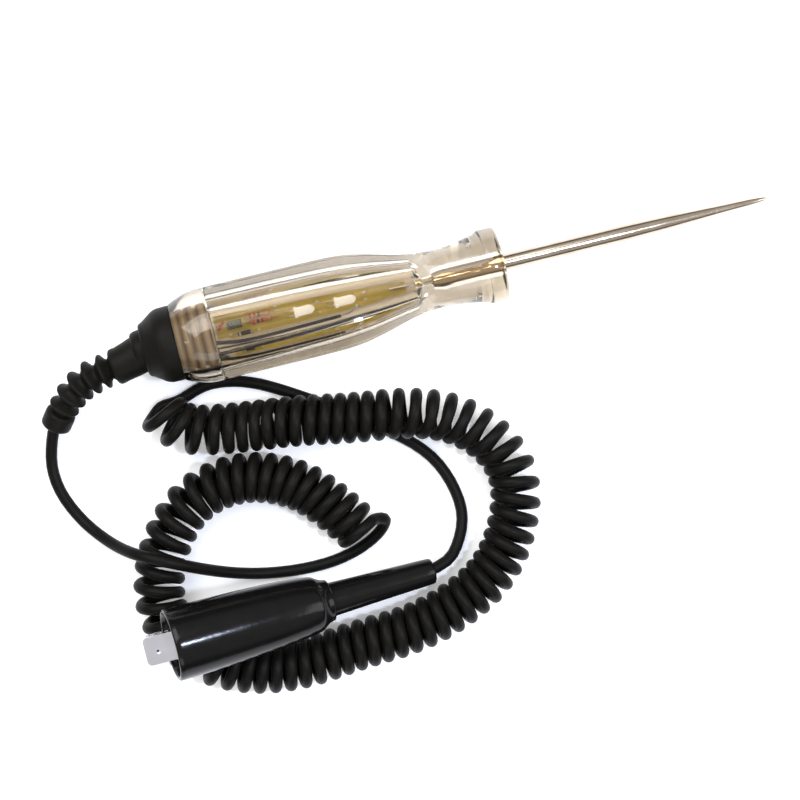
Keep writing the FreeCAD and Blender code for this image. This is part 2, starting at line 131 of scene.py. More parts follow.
def surface(flow, **sockets):
    """Ends a material with one Principled shader; underscores stand for spaces."""
    named = {name.replace("_", " "): value for name, value in sockets.items()}
    shader = flow.node("ShaderNodeBsdfPrincipled", sockets=named)
    flow.node("ShaderNodeOutputMaterial", sockets={"Surface": shader})


def place(flow):
    """The point on the piece, in metres, as a vector."""
    return flow.node("ShaderNodeTexCoord", out="Object")


def along(flow, axis):
    """The distance along one axis, 0 to 2, in metres."""
    return flow.node("ShaderNodeSeparateXYZ", sockets={"Vector": place(flow)}, out=axis)


def noise(flow, scale, detail=3.0, roughness=0.5, stretch=(1.0, 1.0, 1.0)):
    stretched = flow.node("ShaderNodeVectorMath", {"operation": "MULTIPLY"}, {0: place(flow), 1: stretch})
    sockets = {"Vector": stretched, "Scale": scale, "Detail": detail, "Roughness": roughness}
    return flow.node("ShaderNodeTexNoise", sockets=sockets)


def ramp(flow, factor, stops):
    """Colours at places from 0 to 1."""
    return flow.node("ShaderNodeValToRGB", {"stops": stops}, {"Fac": factor})


def tint(flow, factor, first, second):
    """A colour between two colours."""
    mixed = flow.node("ShaderNodeMix", {"data_type": "RGBA"}, {"Factor": factor}, out=2)
    for socket, colour in zip((6, 7), (first, second)):
        target = mixed.socket.node.inputs[socket]
        if isinstance(colour, Flow):
            flow.tree.links.new(colour.socket, target)
        else:
            target.default_value = (*colour, 1.0)
    return mixed


def relief(flow, height, distance, strength=1.0):
    """A Bump node; distance is in metres."""
    sockets = {"Height": height, "Distance": distance, "Strength": strength}
    return flow.node("ShaderNodeBump", sockets=sockets)


def dress(node_name, material):
    """Gives a CAD node a finer material."""
    for slot in nodes[node_name].material_slots:
        slot.material = material


def table_finish():
    material, flow = new_finish("white_table")
    grain = noise(flow, 9.0)
    colour = tint(flow, grain, (0.90, 0.90, 0.905), (0.93, 0.93, 0.93))
    surface(flow, Base_Color=colour, Roughness=0.75, Specular_IOR_Level=0.2,
            Emission_Color=(1.0, 1.0, 1.0, 1.0), Emission_Strength=TABLE_GLOW)
    return material


bpy.ops.mesh.primitive_plane_add(size=TABLE_SIZE, location=mm(-60, -40, FLOOR_Z))
table = bpy.context.object
table.name = "table"
table.data.materials.append(table_finish())

# the studio's walls: (height, colour), dark below and bright above
WALLS = [(0.0, (0.16, 0.15, 0.14)), (0.25, (0.10, 0.095, 0.09)), (0.45, (0.75, 0.76, 0.78)),
         (0.8, (0.95, 0.95, 0.95)), (1.0, (0.8, 0.8, 0.82))]
WALL_BRIGHTNESS = 0.66

world = bpy.data.worlds.new("studio")
bpy.context.scene.world = world
world.use_nodes = True
world.node_tree.nodes.clear()
sky = Flow(world.node_tree)
way = sky.node("ShaderNodeTexCoord", out="Generated")
height = sky.node("ShaderNodeSeparateXYZ", sockets={"Vector": way}, out=2)
walls = {"Color": ramp(sky, height, WALLS), "Strength": WALL_BRIGHTNESS}
background = sky.node("ShaderNodeBackground", sockets=walls)
sky.node("ShaderNodeOutputWorld", sockets={"Surface": background})
bpy.context.scene.view_settings.view_transform = "Standard"


MIDDLE = mm(-60, -40, 0)


def soft_lamp(name, at, width, depth, watts, colour=(1.0, 1.0, 1.0)):
    """A rectangular lamp, sized in metres, that faces the middle of the tester."""
    lamp = bpy.data.lights.new(name, "AREA")
    lamp.shape = "RECTANGLE"
    lamp.size = width
    lamp.size_y = depth
    lamp.energy = watts
    lamp.color = colour
    holder = bpy.data.objects.new(name, lamp)
    bpy.context.scene.collection.objects.link(holder)
    holder.location = at
    holder.rotation_euler = (MIDDLE - at).to_track_quat("-Z", "Y").to_euler()


soft_lamp("overhead_lamp", mm(-260, 420, 780), width=0.85, depth=0.65, watts=8.0)
soft_lamp("side_lamp", mm(560, -180, 420), width=0.40, depth=0.50, watts=2.2)
soft_lamp("window_lamp", mm(168, -95, 700), width=0.06, depth=0.06, watts=2.8, colour=(0.72, 0.80, 1.0))
soft_lamp("front_lamp", mm(-300, -640, 480), width=0.5, depth=0.30, watts=1.1)

CAMERA_AT = mm(-62.5, -10.0, 587.6)
CAMERA_AIM = mm(-40.0, -33.0, 0.0)
CAMERA_ROLL = math.radians(13.9)
CAMERA_LENS = 87.26

camera = bpy.data.objects.new("camera", bpy.data.cameras.new("camera"))
bpy.context.scene.collection.objects.link(camera)
bpy.context.scene.camera = camera
camera.data.sensor_width = 36.0
camera.data.lens = CAMERA_LENS
camera.data.clip_start = 0.01
ahead = (CAMERA_AIM - CAMERA_AT).normalized()
level = (Vector((1, 0, 0)) - ahead * ahead.x).normalized()
upward = level.cross(ahead)
right = level * math.cos(CAMERA_ROLL) - upward * math.sin(CAMERA_ROLL)
top = level * math.sin(CAMERA_ROLL) + upward * math.cos(CAMERA_ROLL)
turn = Matrix((right, top, -ahead)).transposed().to_4x4()
camera.matrix_world = Matrix.Translation(CAMERA_AT) @ turn


# ---- The lead -----------------------------------------------------------------------------------
# One black rubber-covered lead runs from the bellows to the clip. Its middle stretch was wound on
# a rod and set in the oven, so it springs back into close turns; both its ends were left straight.

LEAD_R = 1.8
COIL_R = 8.0                        # to the outside of a turn
AIR = 0.02                          # under what lies on the table
LEAD_Z = FLOOR_Z + LEAD_R + AIR     # the middle of the lead where it lies flat
COIL_Z = FLOOR_Z + COIL_R + AIR
LIFT_Z = COIL_Z + 4.0               # the middle of the coil where it lies on the lead

LEAD_HANDLE_ROUTE = [
    mm(-144.6, -17.2, -6.6), mm(-146.5, -20.9, -8.5), mm(-148.4, -28.4, LEAD_Z),
    mm(-147.4, -36.7, LEAD_Z), mm(-143.3, -45.7, -9.3), mm(-138.0, -52.2, -6.2),
    mm(-132.4, -56.7, 0.1), mm(-126.3, -59.6, 7.8), mm(-115.9, -64.7, 7.8),
    mm(-110.0, -68.5, 0.2), mm(-102.3, -72.4, -6.4), mm(-93.5, -75.2, -9.3),
    mm(-83.0, -76.8, LEAD_Z), mm(-72.4, -77.0, LEAD_Z), mm(-64.6, -75.6, LEAD_Z),
    mm(-58.4, -73.2, -9.3), mm(-54.4, -70.4, -7.4), mm(-52.3, -67.2, -4.4)]

COIL_ROUTE = [
    mm(-60.9, -69.4, COIL_Z), mm(-66.4, -60.8, COIL_Z), mm(-76.6, -49.6, COIL_Z),
    mm(-92.0, -43.7, COIL_Z), mm(-108.2, -46.4, COIL_Z), mm(-119.1, -57.0, COIL_Z),
    mm(-125.4, -70.5, COIL_Z), mm(-125.3, -83.7, COIL_Z), mm(-116.3, -95.9, COIL_Z),
    mm(-103.3, -102.4, COIL_Z), mm(-87.8, -104.6, COIL_Z), mm(-70.0, -102.8, COIL_Z),
    mm(-52.1, -102.3, COIL_Z), mm(-37.4, -98.4, COIL_Z), mm(-24.1, -91.3, COIL_Z),
    mm(-15.0, -78.8, COIL_Z), mm(-10.8, -64.7, COIL_Z), mm(-14.4, -52.8, COIL_Z + 0.3),
    mm(-24.3, -42.4, COIL_Z + 1.4), mm(-38.4, -37.0, LIFT_Z), mm(-54.4, -35.0, LIFT_Z),
    mm(-71.3, -31.6, LIFT_Z), mm(-84.0, -30.2, COIL_Z + 0.8), mm(-95.4, -28.6, COIL_Z),
    mm(-102.6, -27.2, COIL_Z), mm(-108.4, -23.8, COIL_Z), mm(-112.2, -17.4, COIL_Z)]

LEAD_CLIP_ROUTE = [
    mm(-105.6, -17.6, LEAD_Z), mm(-98.1, -14.6, LEAD_Z),
    mm(-91.5, -14.6, LEAD_Z), mm(-84.1, -16.4, LEAD_Z), mm(-76.0, -20.4, LEAD_Z),
    mm(-63.4, -28.5, LEAD_Z), mm(-50.9, -37.4, LEAD_Z), mm(-39.3, -46.4, LEAD_Z),
    mm(-33.1, -54.0, LEAD_Z), mm(-29.7, -63.2, LEAD_Z), mm(-28.9, -72.5, -9.5),
    mm(-32.7, -80.7, -7.6), mm(-38.0, -85.8, -4.8), mm(-46.6, -86.3, -2.4)]


def spline_curve(name, points, resolution):
    """A curve object with one smooth NURBS spline through its control points."""
    data = bpy.data.curves.new(name, "CURVE")
    data.dimensions = "3D"
    spline = data.splines.new("NURBS")
    spline.points.add(len(points) - 1)
    for knot, point in zip(spline.points, points):
        knot.co = (*point, 1.0)
    spline.order_u = 3
    spline.use_endpoint_u = True
    spline.resolution_u = resolution
    curve = bpy.data.objects.new(name, data)
    bpy.context.scene.collection.objects.link(curve)
    return curve


def points_on(route, resolution=40):
    """Close points on the smooth line through a route, and how far along each one is."""
    curve = spline_curve("line", route, resolution)
    line = bpy.data.meshes.new_from_object(curve)
    points = [vertex.co.copy() for vertex in line.vertices]
    bpy.data.objects.remove(curve)
    bpy.data.meshes.remove(line)
    travelled = [0.0]
    for before, after in zip(points, points[1:]):
        travelled.append(travelled[-1] + (after - before).length)
    return points, travelled


class Line:
    """The smooth line through a route, measured by distance."""

    def __init__(self, route):
        self.points, self.travelled = points_on(route)
        self.length = self.travelled[-1]
        self.index = 0

    def at(self, distance):
        while self.index < len(self.points) - 2 and self.travelled[self.index + 1] < distance:
            self.index += 1
        while self.index > 0 and self.travelled[self.index] > distance:
            self.index -= 1
        start, end = self.points[self.index], self.points[self.index + 1]
        span = self.travelled[self.index + 1] - self.travelled[self.index]
        way = (end - start).normalized()
        return start.lerp(end, (distance - self.travelled[self.index]) / span), way


TURN_R = (COIL_R - LEAD_R) * MM
STEPS = 14                          # points in one turn
FIRST_TURN = math.radians(20)       # where on the first turn the lead joins
LOW_ENOUGH = COIL_Z * MM - 0.9 * TURN_R

# pitch of the turns along the coil: (share of the coil's length, millimetres for one turn)
PITCHES = [(0.0, 4.5), (0.07, 4.0), (0.12, 4.2), (0.17, 5.3), (0.30, 5.2), (0.36, 4.3), (0.60, 4.4),
           (0.66, 5.4), (0.78, 4.9), (0.84, 4.05), (0.93, 4.2), (0.95, 5.3), (1.0, 6.0)]


def pitch_at(share):
    for (low, first), (high, second) in zip(PITCHES, PITCHES[1:]):
        if share <= high:
            return (first + (second - first) * (share - low) / (high - low)) * MM
    return PITCHES[-1][1] * MM


def coil_points(line):
    """The turns of the curly stretch, wound round its middle line. They end low on the table side."""
    points = []
    distance = 0.0
    angle = FIRST_TURN
    while distance < line.length:
        middle, way = line.at(distance)
        side = Vector((way.y, -way.x, 0)).normalized()
        rise = side.cross(way)
        offset = side * math.cos(angle) + rise * math.sin(angle)
        points.append(middle + offset * TURN_R)
        angle += 2 * math.pi / STEPS
        distance += pitch_at(distance / line.length) / STEPS
    while points[-1].z > points[-2].z or points[-1].z > LOW_ENOUGH:
        points.pop()
    return points


LEAD_SMOOTHNESS = 3                 # short straight steps between two points
lead_points = LEAD_HANDLE_ROUTE + coil_points(Line(COIL_ROUTE)) + LEAD_CLIP_ROUTE
lead = spline_curve("lead", lead_points, LEAD_SMOOTHNESS)
lead.data.bevel_depth = LEAD_R * MM
lead.data.bevel_resolution = 5
lead.data.use_fill_caps = True


def rubber_finish(name, dark, pale, rough, gloss, grain_scale, grain_depth):
    """Moulded rubber: a little dust in its colour, a fine skin, and a satin shine."""
    material, flow = new_finish(name)
    dust = noise(flow, 210.0, 4.0, 0.6)
    skin = noise(flow, grain_scale, 3.0, 0.6)
    colour = tint(flow, dust, dark, pale)
    surface(flow, Base_Color=colour, Roughness=rough + dust * 0.12, Specular_IOR_Level=gloss,
            Normal=relief(flow, skin, grain_depth, 0.5))
    return material


lead_rubber = rubber_finish("lead_rubber", (0.0035, 0.0035, 0.003), (0.008, 0.007, 0.006), 0.36, 0.07,
                            2600.0, 0.00004)
lead.data.materials.append(lead_rubber)
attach(lead, "tester")
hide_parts("lead_handle", "lead_coil", "lead_clip")


# ---- The handle ----------------------------------------------------------------------------------
# A bar of clear, faintly amber acetate, milled to six flats and turned to a bell in front and a
# collar behind, then polished. A bore from the back takes the board.

HANDLE_R = 14.32        # to the corners of the flats
HANDLE_END = -101.0
BELL_R = 11.5
PROBE_HOLE_R = 2.56
REST_RUN = 88.0         # from where the bell rests on the table to where the body does
FLOOR_TILT = math.atan((HANDLE_R - BELL_R) / REST_RUN)
TOOL = Matrix.Rotation(FLOOR_TILT, 4, "Y") @ Matrix.Scale(MM, 4)


def eased(points, steps=5):
    """Close points on a smooth line through a few (x, radius) points."""
    ends = [points[0]] + list(points) + [points[-1]]
    line = []
    for a, b, c, d in zip(ends, ends[1:], ends[2:], ends[3:]):
        for step in range(steps):
            t = step / steps
            line.append(tuple(
                0.5 * (2 * q + (r - p) * t + (2 * p - 5 * q + 4 * r - s) * t ** 2
                       + (3 * q - p - 3 * r + s) * t ** 3)
                for p, q, r, s in zip(a, b, c, d)))
    return line + [points[-1]]


def skin(name, rings, material, looped=False, capped=True, crease=28.0):
    """A piece made of rings of points, each joined to the next."""
    mesh = bmesh.new()
    made = [[mesh.verts.new(point) for point in ring] for ring in rings]
    pairs = list(zip(made, made[1:]))
    if looped:
        pairs.append((made[-1], made[0]))
    for before, after in pairs:
        for index in range(len(before)):
            mesh.faces.new((before[index - 1], before[index], after[index], after[index - 1]))
    if capped and not looped:
        mesh.faces.new(made[0])
        mesh.faces.new(made[-1])
    bmesh.ops.recalc_face_normals(mesh, faces=mesh.faces)
    data = bpy.data.meshes.new(name)
    mesh.to_mesh(data)
    mesh.free()
    data.materials.append(material)
    data.shade_smooth()
    data.set_sharp_from_angle(angle=math.radians(crease))
    piece = bpy.data.objects.new(name, data)
    bpy.context.scene.collection.objects.link(piece)
    return piece


def angles_of(around):
    return [2 * math.pi * step / around for step in range(around)]


def circle(x, radius, placed, around=48):
    return [placed @ Vector((x, radius * math.cos(a), radius * math.sin(a))) for a in angles_of(around)]


def turned(name, profile, placed, material, around=48, **shape):
    """A piece turned on a lathe from (x, radius) points."""
    return skin(name, [circle(x, radius, placed, around) for x, radius in profile], material, **shape)


def fit(piece, body, slot, *stands_for):
    """Hangs a finished piece on the body it moves with and hides the CAD nodes it stands for."""
    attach(piece, body)
    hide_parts(*stands_for)
    return piece


FLAT_ANGLE = math.radians(60)
CORNER = 0.993          # polishing takes this much off the corners between flats
RING_POINTS = 96


def milled_ring(x, radius, flatness):
    """One ring of the handle: round at flatness 0, six flats with softened corners at 1."""
    ring = []
    for angle in angles_of(RING_POINTS):
        off = angle % FLAT_ANGLE - FLAT_ANGLE / 2
        flat = min(radius * math.cos(FLAT_ANGLE / 2) / math.cos(off), radius * CORNER)
        reach = radius + (flat - radius) * flatness
        ring.append(TOOL @ Vector((x, reach * math.cos(angle), reach * math.sin(angle))))
    return ring


def acetate_finish():
    material, flow = new_finish("clear_acetate")
    cloud = noise(flow, 55.0, 3.0, 0.5, (0.5, 1.0, 1.0))
    scuffs = noise(flow, 700.0, 5.0, 0.7, (0.3, 1.0, 1.0))
    colour = tint(flow, cloud, (0.66, 0.58, 0.46), (0.82, 0.74, 0.62))
    surface(flow, Base_Color=colour, Roughness=0.03 + scuffs * 0.07, IOR=1.49, Transmission_Weight=1.0,
            Normal=relief(flow, cloud, 0.0004, 0.35))
    return material


BELL_FRONT = [(-0.5, PROBE_HOLE_R), (-0.5, 10.5), (-0.62, 11.0), (-0.95, 11.33), (-1.5, BELL_R),
              (-5.0, BELL_R)]
NECK = [(-5.4, 11.45), (-6.7, 10.9), (-8.4, 10.3), (-12.7, 9.5), (-16.4, 9.0), (-20.0, 8.86)]
SWELL = [(-20.8, 8.86), (-26.1, 9.25), (-30.9, 10.1), (-35.8, 11.4), (-40.6, 12.65), (-45.5, 13.65),
         (-50.3, 14.15), (-55.5, HANDLE_R)]
FLAT_BODY = (-66.0, -78.0, -89.5)
COLLAR = [(-89.75, 14.1), (-89.95, HANDLE_R), (-92.6, HANDLE_R), (-95.0, 13.95), (-97.3, 13.3),
          (-99.5, 12.4), (HANDLE_END, 11.7)]
BORE = [(HANDLE_END, 9.8), (-90.2, 9.8), (-90.15, 9.2), (-70.0, 9.0), (-55.0, 8.4), (-40.0, 7.2),
        (-28.0, 6.0), (-25.2, 1.3), (-22.1, 1.3), (-22.05, PROBE_HOLE_R)]
FLATS_START = -20.4     # the flats run out of the round neck from here
FLATS_RUN = 4.5
handle_rings = [milled_ring(x, radius, 0.0) for x, radius in BELL_FRONT + eased(NECK, 4)]
for x, radius in eased(SWELL, 4):
    handle_rings.append(milled_ring(x, radius, min(1.0, max(0.0, (FLATS_START - x) / FLATS_RUN))))
handle_rings += [milled_ring(x, HANDLE_R, 1.0) for x in FLAT_BODY]
handle_rings += [milled_ring(x, radius, 0.0) for x, radius in COLLAR + BORE]
handle = skin("handle", handle_rings, acetate_finish(), looped=True, crease=24.0)
fit(handle, "tester", "clear_handle", "handle_shell")


# ---- The probe -----------------------------------------------------------------------------------
# One ground and polished steel rod. Its back end is pressed into the bell, and a length of bare
# tinned wire is soldered into it to reach the board.

SEAT_END = -0.5         # behind this the probe is inside the handle


def steel_finish(name, dark, pale, rough, lathe_scale, seated_reflection=None, dent=None):
    """Bright metal with fine turning marks and a little tarnish.

    seated gives a paler colour painted on the stretch inside the handle, a painted reflection of the lit
    acetate round it; dent is the middle of a punched dimple, whose floor is painted dark as painted shade."""
    material, flow = new_finish(name)
    marks = noise(flow, lathe_scale, 2.0, 0.5, (6.0, 0.6, 0.6))
    tarnish = noise(flow, 120.0, 4.0, 0.6)
    colour = tint(flow, tarnish, dark, pale)
    if seated_reflection:
        # the stretch inside the handle gets a paler gold: a painted reflection of the lit acetate round it
        colour = tint(flow, along(flow, 0) < SEAT_END * MM, colour, seated_reflection)
    if dent:
        off = flow.node("ShaderNodeVectorMath", {"operation": "DISTANCE"}, {0: place(flow), 1: dent}, out=1)
        marks = marks + flow.maths("MINIMUM", off / (DIMPLE_R * MM), 1.0) * DIMPLE_DEPTH
        # the middle of the dimple is painted dark violet: painted shade in the hollow
        colour = tint(flow, off < DIMPLE_SHADE_R * MM, colour, DIMPLE_SHADE)
    surface(flow, Base_Color=colour, Metallic=1.0, Roughness=rough + tarnish * 0.12,
            Normal=relief(flow, marks, 0.00002, 0.25))
    return material


PROBE_R = 2.5
PROBE_SIDE = [(-22.0, 2.1), (-21.6, PROBE_R), (-1.0, PROBE_R), (38.0, PROBE_R)]
PROBE_TAPER = [(42.0, 2.44), (51.0, 2.2), (60.5, 1.78), (69.5, 1.36), (79.5, 0.98), (83.2, 0.62)]
PROBE_TIP = [(83.6, 0.5), (83.95, 0.32), (84.15, 0.12)]
# behind the bell's front the probe is painted pale gold, a painted reflection, not a colour of the steel
probe = turned("probe_rod", PROBE_SIDE + eased(PROBE_TAPER, 6) + PROBE_TIP, TOOL,
               steel_finish("probe_steel_polished", (0.42, 0.33, 0.24), (0.66, 0.57, 0.47), 0.10, 900.0,
                            (0.95, 0.80, 0.58)))
fit(probe, "tester", "probe_steel", "probe")

tinned = steel_finish("tinned_copper_wire", (0.50, 0.49, 0.47), (0.74, 0.73, 0.71), 0.25, 2200.0)
dress("probe_lead", tinned)
dress("led_legs", tinned)


# ---- The board and what is soldered to it ----------------------------------------------------------
# A narrow yellow laminate board slides into the bore. It carries two clear lamps, two resistors, a
# diode, a small chip and a red link, each held by bright solder.

def laminate_finish():
    material, flow = new_finish("yellow_laminate")
    weave = noise(flow, 1500.0, 3.0, 0.6, (1.0, 0.25, 1.0))
    rows = flow.maths("SINE", along(flow, 1) * 2300.0)
    bends = noise(flow, 130.0, 1.0, 0.4, (0.4, 1.0, 1.0))
    tracks = flow.maths("SMOOTH_MIN", rows > 0.35, bends > 0.47, 0.1)
    base = tint(flow, weave, (0.44, 0.33, 0.02), (0.58, 0.45, 0.05))
    colour = tint(flow, tracks * 0.55, base, (0.68, 0.56, 0.12))
    surface(flow, Base_Color=colour, Roughness=0.35 + weave * 0.15,
            Normal=relief(flow, tracks, 0.00005, 0.6))
    return material


dress("circuit_board", laminate_finish())


def lamp_finish():
    material, flow = new_finish("water_clear_lamp_painted_glow")
    haze = noise(flow, 700.0, 2.0)
    colour = tint(flow, haze, (0.93, 0.95, 1.0), (1.0, 1.0, 1.0))
    # the lamp's lens glows faintly in its own colour though nothing lights it: a painted glow
    surface(flow, Base_Color=colour, Roughness=0.10 + haze * 0.1, Transmission_Weight=0.25, IOR=1.5,
            Emission_Color=colour, Emission_Strength=0.35)
    return material


lamp_clear = lamp_finish()
dress("led_rear", lamp_clear)
dress("led_front", lamp_clear)


def banded_finish(name, coat, bands, start, length):
    """A lacquered part with painted bands; each band is (first share, last share, colour)."""
    material, flow = new_finish(name)
    share = (along(flow, 0) - start * MM) / (length * MM)
    dust = noise(flow, 900.0, 3.0)
    colour = tint(flow, dust, coat, tuple(value * 0.8 for value in coat))
    for first, last, paint in bands:
        colour = tint(flow, (share > first) * (share < last), colour, paint)
    surface(flow, Base_Color=colour, Roughness=0.3 + dust * 0.2, Normal=relief(flow, dust, 0.00002, 0.5))
    return material


RED_PAINT = (0.50, 0.03, 0.02)
GOLD_PAINT = (0.55, 0.36, 0.08)
PLATED_END = (0.6, 0.6, 0.58)
dress("resistor_long", banded_finish("resistor_coat_long", (0.62, 0.30, 0.13), [
    (0.07, 0.16, RED_PAINT), (0.27, 0.37, RED_PAINT), (0.47, 0.57, (0.10, 0.04, 0.02)),
    (0.80, 0.90, GOLD_PAINT)], -78.6, 6.6))
dress("resistor_short", banded_finish("resistor_coat_short", (0.66, 0.26, 0.12), [
    (0.08, 0.18, (0.45, 0.10, 0.02)), (0.28, 0.38, (0.02, 0.02, 0.02)), (0.48, 0.58, RED_PAINT),
    (0.80, 0.90, GOLD_PAINT)], -78.0, 6.6))
dress("diode", banded_finish("diode_glass", (0.02, 0.018, 0.016), [
    (0.10, 0.24, PLATED_END), (-9.0, -0.02, PLATED_END), (1.02, 9.0, PLATED_END)], -82.6, 3.8))
dress("board_chip", banded_finish("chip_moulding", (0.07, 0.085, 0.05), [
    (0.06, 0.10, (0.22, 0.23, 0.18))], -85.4, 4.6))
dress("red_link", rubber_finish("red_sleeve", (0.42, 0.02, 0.015), (0.60, 0.05, 0.03), 0.3, 0.5,
                                1500.0, 0.00003))


def solder_finish():
    material, flow = new_finish("bright_solder")
    cooled = noise(flow, 1400.0, 4.0, 0.6)
    colour = tint(flow, cooled, (0.62, 0.62, 0.60), (0.86, 0.86, 0.84))
    surface(flow, Base_Color=colour, Metallic=1.0, Roughness=0.2 + cooled * 0.25,
            Normal=relief(flow, cooled, 0.0001, 0.6))
    return material


dress("solder_joints", solder_finish())
dress("ground_wire", rubber_finish("inner_wire_sleeve", (0.008, 0.008, 0.008), (0.02, 0.02, 0.02), 0.3,
                                   0.4, 2000.0, 0.00003))


def copper_finish():
    """Fine bright strands laid with a twist."""
    material, flow = new_finish("copper_strands")
    lay = flow.maths("SINE", (along(flow, 0) + along(flow, 1)) * 9000.0)
    # the strands' crowns are painted bright and the grooves between them dark: painted sheen and painted
    # shade along the lay
    colour = tint(flow, lay * 0.5 + 0.5, (0.42, 0.17, 0.07), (0.90, 0.50, 0.30))
    surface(flow, Base_Color=colour, Metallic=1.0, Roughness=0.3 + lay * 0.05,
            Normal=relief(flow, lay, 0.00006))
    return material


dress("ground_strands", tinned)
dress("clip_strands", copper_finish())


# ---- The plug, the cap and the bellows ---------------------------------------------------------------
# A ribbed rubber plug wedges the board in the bore. A black rubber cap closes the handle over it,
# and the lead leaves through a moulded bellows that ends in a plain collar.

PLUG_RIB_PITCH = 2.7


def plug_finish():
    material, flow = new_finish("ribbed_plug_rubber")
    bands = flow.maths("SINE", along(flow, 0) * (2 * math.pi / (PLUG_RIB_PITCH * MM)))
    dust = noise(flow, 300.0, 4.0, 0.6)
    dark = tint(flow, dust, (0.20, 0.145, 0.095), (0.30, 0.22, 0.15))
    # the ribs' crests are painted pale and their valleys dark, in step with the rib pitch: painted light
    # and shade across the ribs
    colour = tint(flow, bands * 0.5 + 0.5, dark, (0.50, 0.41, 0.30))
    surface(flow, Base_Color=colour, Roughness=0.45 + dust * 0.2, Normal=relief(flow, dust, 0.00008, 0.5))
    return material


dress("end_plug", plug_finish())

cap_rubber = rubber_finish("cap_rubber", (0.0035, 0.0035, 0.003), (0.009, 0.008, 0.006), 0.42, 0.08,
                           1800.0, 0.00008)
CAP_SIDE = [(HANDLE_END, 0.5), (HANDLE_END, 11.1), (-101.15, 11.35), (-101.6, 11.45), (-104.9, 11.35)]
CAP_DOME = [(-105.2, 11.28), (-106.6, 10.75), (-108.2, 9.65), (-109.9, 8.5), (-110.9, 8.0), (-111.3, 7.5)]
CAP_HUB = [(-111.4, 6.5), (-113.0, 6.3), (-114.0, 5.9), (-114.45, 5.2), (-114.45, 0.5)]
cap = turned("rubber_cap", CAP_SIDE + eased(CAP_DOME, 4) + CAP_HUB, TOOL, cap_rubber, crease=50.0)
fit(cap, "tester", "cap_black", "end_cap")

RELIEF_ROUTE = [
    mm(-112.6, -0.8, 3.6), mm(-118.5, -2.6, 3.6), mm(-125.5, -3.3, 2.9), mm(-131.5, -5.0, 1.4),
    mm(-136.6, -8.3, -0.9), mm(-141.1, -12.7, -4.1), mm(-144.6, -17.2, -6.6)]
RIBS = [(11.9, 5.35), (16.2, 5.45), (20.7, 5.25), (25.2, 5.0), (29.6, 4.7)]     # (distance, radius)
RIB_CROWN = 0.05
RIB_SLOPE = [(1.25, 1.7), (0.6, 0.6), (0.3, 0.08)]      # (away from the crest, below it)
RIB_REACH = 2.05
VALLEY_R = 3.0


def along_route(name, route, profile, material, around=40, crease=50.0):
    """A piece turned round a bent middle line from (distance, radius) points."""
    line = Line(route)
    rings = []
    for distance, radius in profile:
        middle, ahead = line.at(distance * MM)
        side = Vector((ahead.y, -ahead.x, 0)).normalized()
        rise = side.cross(ahead)
        rings.append([middle + (side * math.cos(a) + rise * math.sin(a)) * radius * MM
                      for a in angles_of(around)])
    return skin(name, rings, material, crease=crease)


HUB = [(0.0, 5.0), (0.3, 5.9), (3.0, 5.7), (6.0, 5.5), (7.6, 5.6), (8.3, 5.5), (8.7, 5.1), (9.0, 4.2)]
bellows_profile = list(HUB)
for distance, radius in RIBS:
    bellows_profile.append((distance - RIB_REACH, VALLEY_R))
    bellows_profile += [(distance - off, radius - drop) for off, drop in RIB_SLOPE]
    bellows_profile.append((distance, radius + RIB_CROWN))
    bellows_profile += [(distance + off, radius - drop) for off, drop in reversed(RIB_SLOPE)]
    bellows_profile.append((distance + RIB_REACH, VALLEY_R))
bellows_profile += [(32.6, VALLEY_R), (33.0, 2.6)]
bellows = along_route("bellows", RELIEF_ROUTE, bellows_profile, cap_rubber)
fit(bellows, "tester", "cap_black", "strain_relief")

collar_profile = [(31.8, 3.6), (31.9, 4.2), (32.3, 4.55), (33.0, 4.62), (36.2, 4.62), (36.9, 4.5),
                  (37.3, 4.1), (37.4, 3.2), (37.4, 1.9)]
collar = along_route("bellows_collar", RELIEF_ROUTE, collar_profile, cap_rubber)
fit(collar, "tester", "cap_black", "relief_collar")


# ---- The boot --------------------------------------------------------------------------------------
# A glossy black rubber sleeve stretched over the clip, with a slim tail that grips the lead. Both
# are moulded, and the sleeve was dipped, which gave it its shine and a soft step at the shoulder.

TAIL_END = mm(-42.7, -86.3, -3.4)
CLIP_RISE = math.radians(14)
CLIP = (Matrix.Translation(TAIL_END) @ Matrix.Rotation(CLIP_RISE, 4, "Y")
        @ Matrix.Rotation(math.pi, 4, "Z") @ Matrix.Scale(MM, 4))
boot_rubber = rubber_finish("boot_rubber", (0.003, 0.003, 0.0032), (0.006, 0.0055, 0.005), 0.09, 0.20,
                            700.0, 0.00006)
BOOT_SIDE = [(82.9, 10.9), (75.0, 10.8), (62.0, 10.45), (50.4, 9.85), (43.0, 9.2), (38.8, 8.6)]
BOOT_SHOULDER = [(38.8, 8.6), (37.6, 8.25), (36.4, 7.4), (35.2, 6.7), (33.9, 6.35)]
BOOT_INSIDE = [(37.6, 5.9), (42.0, 6.95), (50.4, 8.2), (62.0, 9.05), (75.0, 9.35), (83.0, 9.5)]
BOOT_THROAT = [(33.5, 6.2), (33.4, 5.8), (33.5, 5.3), (36.0, 5.3)]
BOOT_LIP = [(83.3, 9.8), (83.4, 10.2), (83.3, 10.65)]
boot_profile = (eased(BOOT_SIDE, 4) + eased(BOOT_SHOULDER, 3)[1:] + BOOT_THROAT
                + eased(BOOT_INSIDE, 3) + BOOT_LIP)
boot = turned("boot_sleeve", boot_profile, CLIP, boot_rubber, 72, looped=True, crease=60.0)
fit(boot, "tester", "boot_black", "clip_boot")

